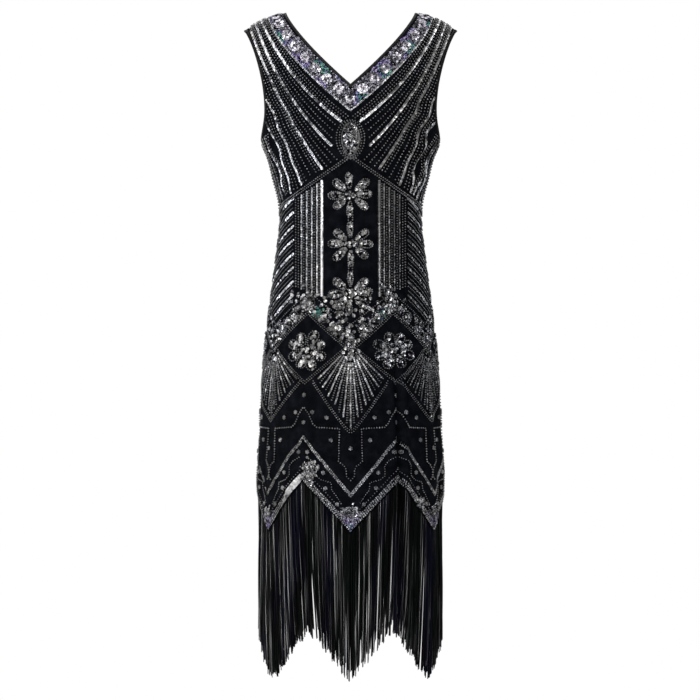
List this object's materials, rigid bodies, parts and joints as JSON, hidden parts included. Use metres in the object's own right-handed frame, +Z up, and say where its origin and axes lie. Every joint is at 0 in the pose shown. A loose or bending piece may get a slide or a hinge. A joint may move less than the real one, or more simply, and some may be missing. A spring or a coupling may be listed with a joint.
{
  "type": "flapper dress",
  "caption": "Sleeveless beaded evening dress with a V neck front and back, fitted waist, zigzag hem and a long thread fringe, hollow as when worn.",
  "frame": {"origin": "midway between the two shoulder seams, level with their neck ends, where the wearer's shoulders hold the dress", "axes": "+Z up along the body, the front faces -Y, +X to the wearer's left"},
  "size_m": [0.365, 0.2711, 1.1406],
  "materials": {
    "beaded_shell": "black net over a black knit lining, sewn all over with small beads and sequins",
    "binding": "black satin bias strip, folded and stitched",
    "fringe": "lustrous black rayon thread",
    "silver_sequins": "silvered film, mirror bright",
    "glass_beads": "gunmetal glass beads",
    "iridescent_sequins": "dark film that turns violet and green"
  },
  "bodies": {
    "root": {"front_panel": "beaded_shell", "back_panel": "beaded_shell", "neck_binding": "binding", "armhole_binding_left": "binding", "armhole_binding_right": "binding", "fringe_front": "fringe", "fringe_back": "fringe"}
  },
  "joints": []
}
